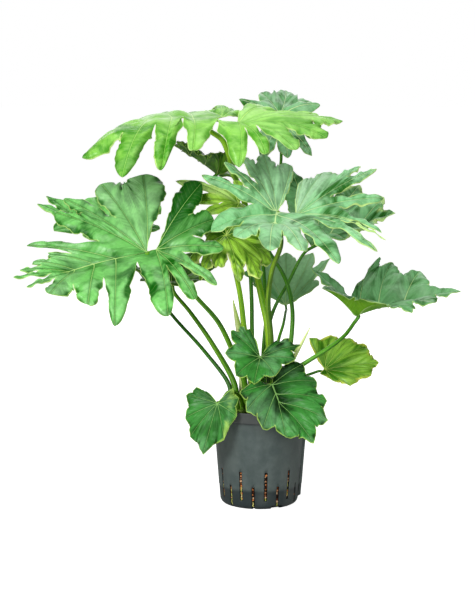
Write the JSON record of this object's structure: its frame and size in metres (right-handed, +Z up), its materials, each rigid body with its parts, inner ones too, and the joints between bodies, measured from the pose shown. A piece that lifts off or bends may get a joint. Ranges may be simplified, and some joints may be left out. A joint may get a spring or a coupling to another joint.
{
  "type": "potted tree philodendron",
  "caption": "Leafy houseplant with large lobed leaves on long arching stalks, growing from one clump in a slotted grey culture pot of expanded clay.",
  "frame": {"origin": "centre of the pot's flat underside, on the surface it stands on", "axes": "+Z up, +Y to the back, +X to the right as seen from the front; the leaves spread furthest along X"},
  "size_m": [0.847, 0.5846, 0.7889],
  "materials": {
    "pot": "matte",
    "clay": "matte",
    "crown": "matte",
    "sheath": "satin",
    "blade_fresh": "satin",
    "blade_grey_green": "satin",
    "blade_mid": "satin",
    "blade_lime": "satin",
    "blade_dark": "satin",
    "blade_yellowing": "satin",
    "blade_shaded": "satin",
    "stalk_pale": "satin",
    "stalk_olive": "satin",
    "stalk_fresh": "satin",
    "stalk_mid": "satin",
    "stalk_deep": "satin"
  },
  "bodies": {
    "root": {"culture_pot": "pot", "clay_filling": "clay", "crown": "crown", "blade_top": "blade_fresh", "stalk_top": "stalk_pale", "blade_upper_left": "blade_shaded", "stalk_upper_left": "stalk_mid", "blade_upper_back": "blade_grey_green", "stalk_upper_back": "stalk_mid", "blade_right": "blade_grey_green", "stalk_right": "stalk_olive", "blade_left": "blade_mid", "stalk_left": "stalk_fresh", "blade_far_left": "blade_mid", "stalk_far_left": "stalk_deep", "blade_behind_left": "blade_shaded", "stalk_behind_left": "stalk_fresh", "blade_young": "blade_lime", "stalk_young": "stalk_pale", "blade_upper_centre": "blade_lime", "stalk_upper_centre": "stalk_mid", "blade_back": "blade_grey_green", "stalk_back": "stalk_mid", "blade_right_low": "blade_grey_green", "stalk_right_low": "stalk_mid", "blade_variegated": "blade_grey_green", "stalk_variegated": "stalk_mid", "blade_low_right": "blade_yellowing", "stalk_low_right": "stalk_mid", "blade_low_centre": "blade_dark", "stalk_low_centre": "stalk_fresh", "blade_front_low": "blade_dark", "stalk_front_low": "stalk_fresh", "blade_hanging": "blade_dark", "stalk_hanging": "stalk_fresh", "bud_sheath_left": "sheath", "bud_sheath_right": "sheath"}
  },
  "joints": []
}
